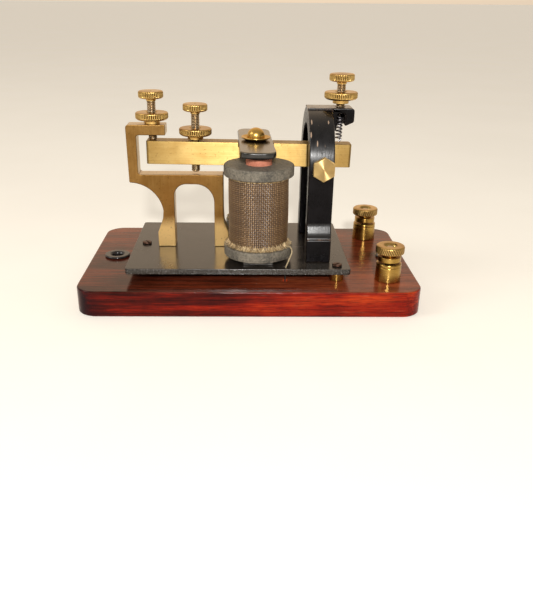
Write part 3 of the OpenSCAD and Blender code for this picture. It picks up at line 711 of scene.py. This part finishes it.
def band(z, low, high, fade=0.35):
    """1 between two heights, fading out past them."""
    return max(0.0, min(1.0, (z - low) / fade + 1, (high - z) / fade + 1))


def fine_profile(points, step):
    """The same profile with more points on its long stretches."""
    out = [points[0]]
    for a, b in zip(points, points[1:]):
        pieces = max(1, round(math.dist(a, b) / step))
        out += [(a[0] + (b[0] - a[0]) * k / pieces, a[1] + (b[1] - a[1]) * k / pieces)
                for k in range(1, pieces + 1)]
    return out


# ---------------------------------------------------------------- CAD nodes that keep their shape

WELD_WITHIN = 1e-6
FLAT_WITHIN = math.radians(0.6)
EASED_FROM = math.radians(33)
EASED_SEGMENTS = 3
FLAT_FACE_WEIGHT = 60


def dress(node, material):
    nodes[node].material_slots[0].material = material


def ease(node, width):
    """Takes the sharpness off a CAD node's edges with modifiers alone."""
    obj = nodes[node]
    weld = obj.modifiers.new("weld", "WELD")
    weld.merge_threshold = WELD_WITHIN
    flat = obj.modifiers.new("flat_faces", "DECIMATE")
    flat.decimate_type = "DISSOLVE"
    flat.angle_limit = FLAT_WITHIN
    bevel = obj.modifiers.new("eased_edges", "BEVEL")
    bevel.width = width * MM
    bevel.segments = EASED_SEGMENTS
    bevel.limit_method = "ANGLE"
    bevel.angle_limit = EASED_FROM
    bevel.use_clamp_overlap = False
    bevel.miter_outer = "MITER_ARC"
    normals = obj.modifiers.new("normals", "WEIGHTED_NORMAL")
    normals.keep_sharp = False
    normals.weight = FLAT_FACE_WEIGHT


# ---------------------------------------------------------------- adjusting screws and thumb nuts

THREAD_R = 2.24                 # sizes in mm
THREAD_GAP = 0.05
THREAD_PITCH = 25.4 / 32        # 32 threads to the inch
HEAD_R = 6.2
HEAD_H = 3.6
NECK_H = 2.3
NUT_R = 8.25
NUT_H = 5.6
COLLAR_R = 4.0
COLLAR_H = 1.7
HEAD_TEETH = 42
NUT_TEETH = 54
KNURL_DEPTH = 0.34
SIDES_PER_TOOTH = 8


def valley(x):
    """A narrow groove once each period, 1 at its bottom and 0 on the ridge."""
    return max(0.0, 1 - 1.45 * saw(x))


def knurl(teeth, low, high):
    """Straight knurling between two heights."""
    return lambda angle, r, z: KNURL_DEPTH * valley(teeth * angle / (2 * math.pi)) * band(z, low, high)


def slanted_knurl(teeth, depth, low, high, slope):
    """Knurling that leans, crossed by a fainter one that leans the other way."""
    def sink(angle, r, z):
        turn = teeth * angle / (2 * math.pi)
        return depth * max(valley(turn + z / slope), 0.35 * valley(turn - z / slope)) * band(z, low, high)
    return sink


def make_head(node, material):
    bore = THREAD_R + THREAD_GAP
    top = NECK_H + HEAD_H
    neck_curve = [(2.42, 1.15), (2.5, 1.6), (2.66, 2.0), (2.95, NECK_H)]
    under, rim, dimple = 1.1, 0.85, 0.7
    profile = [(0, NECK_H + 0.1), (bore, NECK_H + 0.1), (bore, 1.1)] + neck_curve
    profile += quarter(HEAD_R - under, NECK_H + 1, under, 1, -90, 0, 6)
    profile += quarter(HEAD_R - rim, top - rim, rim, rim, 0, 90, 6)
    profile += [(dimple, top), (dimple / 2, top - 0.35), (0, top - 0.4)]
    ribs = knurl(HEAD_TEETH, NECK_H + 1, top - rim)
    head = turned(node + "_knurled", fine_profile(profile, 0.6), material, seat(node, top),
                  SIDES_PER_TOOTH * HEAD_TEETH, relief=ribs)
    stand_for(head, node)


def make_lock_nut(node, material):
    bore = THREAD_R + THREAD_GAP
    under_r, under_h, rim, mouth, nick = 5.6, 1.4, 0.85, 0.9, 0.15
    profile = [(bore, 0.2), (bore + 0.2, 0), (COLLAR_R - nick, 0), (COLLAR_R, nick), (COLLAR_R, COLLAR_H)]
    profile += quarter(under_r, COLLAR_H + under_h, NUT_R - under_r, under_h, -90, 0, 10)
    profile += quarter(NUT_R - rim, NUT_H - rim, rim, rim, 0, 90, 6)
    profile += [(bore + mouth, NUT_H), (bore, NUT_H - mouth)]
    ribs = knurl(NUT_TEETH, COLLAR_H + under_h, NUT_H - rim)
    nut = turned(node + "_knurled", fine_profile(profile, 0.6), material, seat(node, NUT_H),
                 SIDES_PER_TOOTH * NUT_TEETH, closed=True, relief=ribs)
    stand_for(nut, node)


def make_thread(node, material, radius):
    """A screw thread cut into a rod, with a plain chamfered tip at each end."""
    height = size_mm(node).z
    rings_per_turn, sides, tip, bare = 8, 36, 0.6, 0.3
    steps = round(height / THREAD_PITCH * rings_per_turn)
    depth = 0.46 * THREAD_PITCH

    def cut(angle, r, z):
        if r < 0.5:
            return 0
        ends = band(z, tip + bare, height - tip - bare, 0.5)
        return depth * saw(z / THREAD_PITCH - angle / (2 * math.pi)) ** 1.3 * ends

    profile = [(0, 0), (radius - tip, 0)]
    profile += [(min(radius, radius - tip + z, radius - tip + height - z), z)
                for z in (height * k / steps for k in range(1, steps))]
    profile += [(radius - tip, height), (0, height)]
    rod = turned(node + "_threaded", profile, material, seat(node, height), sides, relief=cut,
                 relief_depth=1.25 * depth)
    stand_for(rod, node)


def make_thumb_nut(node, material):
    radius, bore, height = 7.1, 2.05, 5.5
    neck_r, neck, corner = 3.6, 1.3, 0.6
    outline = [(bore, 0.15), (bore + 0.15, 0), (neck_r, 0), (neck_r, neck), (radius - 0.7, neck),
               (radius, neck + corner), (radius, height - corner), (radius - corner, height - 0.05),
               (4.1, height - 0.05), (3.8, height), (3.5, height), (2.5, height - 1.2), (bore, height - 1.4)]
    profile = fine_profile(soften(outline, 0.35), 0.3)
    ribs = slanted_knurl(teeth=36, depth=0.30, low=neck + 0.75, high=height - 0.75, slope=2.2)
    nut = turned(node + "_knurled", profile, material, seat(node, height), sides=352, closed=True,
                 relief=ribs)
    stand_for(nut, node)


def make_post(node, material):
    """A slightly tapered drum with a fine groove turned just under its rim."""
    low, top, height, bore = 6.5, 6.3, 9.4, 2.02
    groove_z, groove_half, groove_depth, corner = height - 1.75, 0.15, 0.15, 0.3
    outline = [(bore, 0), (low - 0.2, 0), (low, corner), (top, groove_z - groove_half),
               (top - groove_depth, groove_z), (top, groove_z + groove_half),
               (top, height - 0.4), (top - corner, height), (bore, height)]
    profile = fine_profile(soften(outline, 0.18), 0.5)
    stand_for(turned(node + "_turned", profile, material, seat(node, height), sides=128, closed=True), node)


def make_ring(node, material, bore, edge):
    """A washer with rounded rims."""
    size = size_mm(node)
    chamfer = 0.3
    outline = [(bore, 0), (size.x / 2, 0), (size.x / 2, size.z), (bore + chamfer, size.z),
               (bore, size.z - chamfer)]
    profile = fine_profile(soften(outline, edge, steps=5), 0.4)
    stand_for(turned(node + "_turned", profile, material, seat(node, size.z), sides=128, closed=True), node)


# ---------------------------------------------------------------- armature screw and spring

def make_cup_washer(node, material):
    """A washer whose flat middle rises to a rolled rim."""
    low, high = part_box(node)
    rim, bore, flat = (high.y - low.y) / 2 / MM + 0.35, 2.15, 4.9
    thick, rim_z, rim_top = 0.5, 1.35, 1.6
    outline = [(bore, 0), (flat + 0.2, 0), (rim - 0.25, 0.95), (rim, rim_z), (rim - 0.1, rim_top),
               (rim - 0.4, rim_top), (flat, thick), (bore, thick)]
    profile = fine_profile(soften(outline, 0.12), 0.3)
    stand_for(turned(node + "_dished", profile, material, seat(node, rim_z), sides=120, closed=True), node)


def make_dome(node, material):
    """A domed screw head on a low skirt, with its shank below."""
    radius, skirt, crown, shank, length = 4.5, 1.6, 3.9, 2.0, size_mm(node).z
    foot = length - skirt - crown
    chamfer, corner, steps = 0.3, 0.2, 28
    outline = [(0, 0), (shank - chamfer, 0), (shank, chamfer), (shank, foot), (radius - corner, foot),
               (radius, foot + 0.25), (radius, foot + skirt)]
    outline += [(radius * math.cos(a), foot + skirt + crown * math.sin(a))
                for a in (math.pi / 2 * k / steps for k in range(1, steps))]
    outline += [(0, length)]
    stand_for(turned(node + "_polished", outline, material, seat(node, length), sides=96), node)


def make_spring(node, material):
    """A coil with both ends turned in to its axis."""
    low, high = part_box(node)
    x, y = (low.x + high.x) / 2, (low.y + high.y) / 2
    wire, coil, turns, per_turn = 0.42, 1.36, 6.6, 20
    z0, z1 = low.z / MM + wire, high.z / MM - wire
    rise, end_gap, bend = 1.3, 0.1, 0.5
    path = [Vector((0.0, 0.0, z0 + end_gap)), Vector((bend, 0.0, z0 + bend))]
    for k in range(int(turns * per_turn) + 1):
        a = 2 * math.pi * k / per_turn
        share = k / (turns * per_turn)
        z = z0 + rise + (z1 - z0 - 2 * rise) * share
        path.append(Vector((coil * math.cos(a), coil * math.sin(a), z)))
    path += [Vector((0.4 * math.cos(a), 0.4 * math.sin(a), z1 - bend)), Vector((0.0, 0.0, z1 - end_gap))]
    verts, faces = tube([Vector((x, y, 0)) + p * MM for p in path], wire * MM, sides=8)
    spring = new_piece("return_spring_coiled", verts, faces, material)
    stand_for(spring, node)
    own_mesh(spring)


# ---------------------------------------------------------------- coils

WEAVE_AROUND = 86       # warp threads
WEAVE_ROWS = 36         # weft threads
WEAVE_FINENESS = 5      # points for each thread
WARP_RISE = 0.65
WEFT_RISE = 0.60
CROSSING = 0.38         # how far each thread goes over and under the other
THREAD_ROUND = 0.8
THREAD_DEPTH = 0.42
SKIRT_H = 2.0           # the frayed heights at the cloth's foot and top
COLLAR_FRAY_H = 0.9
SLEEVE_BORE = 6.4


def weave(u, v, wander):
    """How high the warp and the weft stand at a place in the cloth, counted in threads."""
    column, row = round(u) % WEAVE_AROUND, round(v)
    wobble = 0.10 * math.sin(column * 2.3 + v * 0.9) + 0.08 * math.sin(column * 5.1 - v * 2.7)
    drifted = u + wobble * 0.4
    across = abs(drifted - round(drifted))
    along = abs(v - row)
    over_under = CROSSING * (math.cos(math.pi * u) * math.cos(math.pi * v))
    warp = WARP_RISE * math.cos(math.pi * across) ** THREAD_ROUND + over_under + wander[column]
    weft = WEFT_RISE * math.cos(math.pi * along) ** THREAD_ROUND - over_under
    return warp, weft


def ring_faces(lower, upper, count):
    """Quads between two rings of vertices, each known by its first one."""
    return [[lower + i, lower + (i + 1) % count, upper + (i + 1) % count, upper + i] for i in range(count)]


def make_winding(side, cloth, thread):
    """A woven sleeve: vertical warp, weft round the coil, frayed at its foot and a little at its top."""
    node = side + "_winding"
    low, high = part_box(node)
    centre = (low + high) / 2
    radius = (high.x - low.x) / 2 / MM
    height = (high.z - low.z) / MM
    chance = random.Random(7 if side == "front" else 8)
    warp_shade = [chance.uniform(0.3, 0.7) for _ in range(WEAVE_AROUND)]
    weft_shade = [chance.random() for _ in range(WEAVE_ROWS + 4)]
    warp_wander = [chance.uniform(-0.08, 0.10) for _ in range(WEAVE_AROUND)]
    columns, rows = WEAVE_AROUND * WEAVE_FINENESS, WEAVE_ROWS * WEAVE_FINENESS
    verts, height_at, shade_at, straw_at = [], [], [], []
    for j in range(rows + 1):
        v = j / WEAVE_FINENESS
        z = height * j / rows
        skirt = max(0.0, 1 - z / SKIRT_H)
        collar = max(0.0, 1 - (height - z) / COLLAR_FRAY_H)
        flare = 0.55 * skirt ** 1.8 + 0.3 * collar ** 1.5
        for i in range(columns):
            u = i / WEAVE_FINENESS
            warp, weft = weave(u, v, warp_wander)
            rise = max(0.0, warp, weft)
            angle = 2 * math.pi * i / columns
            bulge = 0.10 * math.sin(3 * angle + z * 0.14) + 0.12 * math.sin(math.pi * z / height)
            r = radius - THREAD_DEPTH + THREAD_DEPTH * rise + flare + bulge
            verts.append(Vector((centre.x + r * math.cos(angle) * MM, centre.y + r * math.sin(angle) * MM,
                                 low.z + z * MM)))
            height_at.append(rise)
            shade_at.append(warp_shade[round(u) % WEAVE_AROUND] if warp > weft else weft_shade[round(v)])
            straw_at.append(max(min(0.9, 1.4 * skirt), 0.7 * collar))
    for z in (0, height):
        for i in range(columns):
            angle = 2 * math.pi * i / columns
            verts.append(Vector((centre.x + SLEEVE_BORE * math.cos(angle) * MM,
                                 centre.y + SLEEVE_BORE * math.sin(angle) * MM, low.z + z * MM)))
            height_at.append(0.3)
            shade_at.append(0.5)
            straw_at.append(0.0)
    last_row, bottom = rows * columns, (rows + 1) * columns
    top = bottom + columns
    faces = []
    for j in range(rows):
        faces += ring_faces(j * columns, (j + 1) * columns, columns)
    faces += ring_faces(0, bottom, columns) + ring_faces(last_row, top, columns)
    faces += ring_faces(bottom, top, columns)
    piece = new_piece(node + "_woven", verts, faces, cloth,
                      attributes={"height": height_at, "shade": shade_at, "straw": straw_at})
    stand_for(piece, node)
    make_fray(side + "_lower_fray", node, centre, low.z + 0.1 * MM, radius, 1, thread, chance)
    make_fray(side + "_upper_fray", node, centre, high.z - 0.1 * MM, radius, -1, thread, chance)


def make_fray(name, node, centre, flange_z, radius, way, thread, chance):
    """Loose thread ends that lie on a flange, round the foot or the top of the cloth."""
    verts, faces, shades = [], [], []
    count, reach, climb = (620, 2.6, 2.2) if way > 0 else (330, 0.6, 0.8)
    for k in range(count):
        angle = 2 * math.pi * (k + chance.uniform(-0.6, 0.6)) / count
        lean = chance.uniform(-0.13, 0.13)
        out = reach * chance.uniform(0.25, 1.0)
        lift = chance.uniform(0.6, 1.2)
        curl = chance.uniform(0.0, 0.45)
        shade = chance.random()
        path = []
        for t in (0.0, 0.3, 0.6, 0.85, 1.0):
            r = radius + 0.15 + out * t ** 1.5
            z = way * (climb * lift * (1 - t) ** 1.5 + 0.10 + curl * t * t)
            a = angle + lean * t + chance.uniform(-0.006, 0.006)
            path.append(Vector((centre.x + r * math.cos(a) * MM, centre.y + r * math.sin(a) * MM,
                                flange_z + z * MM)))
        some_verts, some_faces = tube(path, lambda t: (0.10 - 0.055 * t) * MM, sides=4)
        faces += [[i + len(verts) for i in face] for face in some_faces]
        verts += some_verts
        shades += [shade] * len(some_verts)
    piece = new_piece(name, verts, faces, thread, attributes={"shade": shades})
    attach(piece, body_of_node[node])


# ---------------------------------------------------------------- wires

LEAD_R = 0.34
JUMPER_R = 0.45


def make_wire(node, route, radius, material):
    """A braided wire along a route in mm."""
    path = spline_through([Vector(p) * MM for p in route], steps=8)
    sides, strands, pitch = 12, 4, 1.4
    verts, faces = tube(path, radius * MM, sides)
    braid = []
    length = 0.0
    for i, point in enumerate(path):
        length += (point - path[i - 1]).length / MM if i else 0
        for j in range(sides):
            turn = j / sides * strands
            rise = max(saw(turn + length / pitch), saw(turn - length / pitch))
            k = i * sides + j
            verts[k] = point + (verts[k] - point) * (0.9 + 0.12 * rise)
            braid.append(rise)
    stand_for(new_piece(node + "_braided", verts, faces, material, attributes={"braid": braid}), node)


def make_wires(material):
    """Each lead goes from its coil's foot down a hole, then along a groove under the base to a post."""
    plate_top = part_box("sub_base_plate")[1].z / MM
    base_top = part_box("wooden_base")[1].z / MM
    flange_gap = 0.78
    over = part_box("front_winding")[0].z / MM + flange_gap
    hole_x, hole_y, groove_y, groove_z = 18, 36, 35.5, 1.8
    for side, sign in (("front", -1), ("rear", 1)):
        low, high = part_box(side + "_post_body")
        post_x = (low.x + high.x) / 2 / MM
        route = [(18.5, 30.9, over), (20.4, 32, over + 0.1), (21.1, 33.3, 27), (19.6, 35.2, 23.5),
                 (hole_x, hole_y, plate_top - 1), (hole_x, hole_y, base_top), (hole_x, hole_y, 7),
                 (hole_x, 35.9, 4.4), (hole_x + 1, 35.7, 2.3), (hole_x + 3.4, groove_y, groove_z),
                 (34, groove_y, groove_z), (50, groove_y, groove_z), (post_x - 6.5, groove_y, groove_z),
                 (post_x - 3.7, 38, 2.2), (post_x, 39, 2.6)]
        make_wire(side + "_lead_wire", [(x, sign * y, z) for x, y, z in route], LEAD_R, material)
    jumper = [(15.4, -11.3, over), (15.8, -6, over + 0.3), (16, 0, over - 0.4), (15.8, 6, over + 0.3),
              (15.4, 11.3, over)]
    make_wire("coil_jumper", jumper, JUMPER_R, material)


# ---------------------------------------------------------------- the scene

def add_floor():
    size = 30.0
    floor = new_piece("floor", [(-size, -size, 0), (size, -size, 0), (size, size, 0), (-size, size, 0)],
                      [(0, 1, 2, 3)], pale_floor(), smooth=False)


def dress_frame(turned_metal):
    """Gives each CAD node that keeps its shape its material and the width of its eased edges in mm."""
    wood, plate, japan = mahogany(), japanned_plate(), black_japan()
    bar, cast, hexes = lever_brass(), cast_brass(), hex_brass()
    grey = steel("grey_steel", (0.36, 0.35, 0.33), (0.15, 0.14, 0.13), 0.32)
    iron = steel("soft_iron", (0.20, 0.19, 0.18), (0.08, 0.075, 0.07), 0.40)
    satin = steel("armature_steel", (0.26, 0.235, 0.19), (0.15, 0.135, 0.11), 0.12, (0.5, 0.47, 0.42),
                  black_sides=True, pitting=0.2)
    bronze = steel("bronzed_screw", (0.13, 0.065, 0.045), (0.04, 0.022, 0.017), 0.30, (0.3, 0.2, 0.14))
    black = fibre("black_fibre", (0.20, 0.175, 0.135), (0.055, 0.050, 0.042), (0.26, 0.24, 0.20))
    red = fibre("red_fibre", (0.66, 0.25, 0.155), (0.42, 0.13, 0.08), (0.70, 0.34, 0.24))
    looks = {"wooden_base": (wood, 0.8), "mounting_eyelets": (black_enamel(), 0.25),
             "sub_base_plate": (plate, 0.3), "plate_screws": (bronze, 0.12),
             "plate_spacers": (turned_metal, 0.2), "anvil_frame": (cast, 0.45),
             "anvil_screws": (grey, 0.2), "standard": (japan, 0.7), "standard_screws": (grey, 0.2),
             "front_pivot_screw": (hexes, 0.3), "rear_pivot_screw": (hexes, 0.3),
             "pivot_arbor": (grey, 0.2), "heel_bar": (iron, 0.3), "core_screws": (grey, 0.2),
             "front_core": (iron, 0.2), "rear_core": (iron, 0.2), "front_sleeve": (red, 0.1),
             "rear_sleeve": (red, 0.1), "lever": (bar, 0.3), "armature": (satin, 0.9),
             "post_base_nuts": (cast, 0.2)}
    for side in ("front", "rear"):
        for end in ("upper", "lower"):
            looks[f"{side}_{end}_flange"] = (black, 0.35)
    for node, (material, width) in looks.items():
        dress(node, material)
        ease(node, width)


def main():
    add_camera()
    add_lights()
    add_room()
    add_floor()
    knurled, threads, turned_metal = knurled_brass(), thread_brass(), turned_brass()
    dress_frame(turned_metal)
    for screw in ("up_stop", "down_stop", "tension"):
        make_head(screw + "_head", knurled)
        make_lock_nut(screw + "_lock_nut", knurled)
        make_thread(screw + "_shank", threads, THREAD_R)
    for side in ("front", "rear"):
        make_thumb_nut(side + "_thumb_nut", knurled)
        make_post(side + "_post_body", turned_metal)
        make_ring(side + "_post_washer", turned_metal, bore=2.05, edge=0.15)
        make_thread(side + "_post_stud", threads, 2.0)
    make_cup_washer("armature_washer", polished_brass())
    make_dome("armature_screw", polished_brass())
    make_spring("return_spring", steel("spring_steel", (0.34, 0.33, 0.36), (0.15, 0.14, 0.16), 0.34))
    cloth, straw = woven_cloth(), straw_thread()
    for side in ("front", "rear"):
        make_winding(side, cloth, straw)
    make_wires(braided_wire())


main()
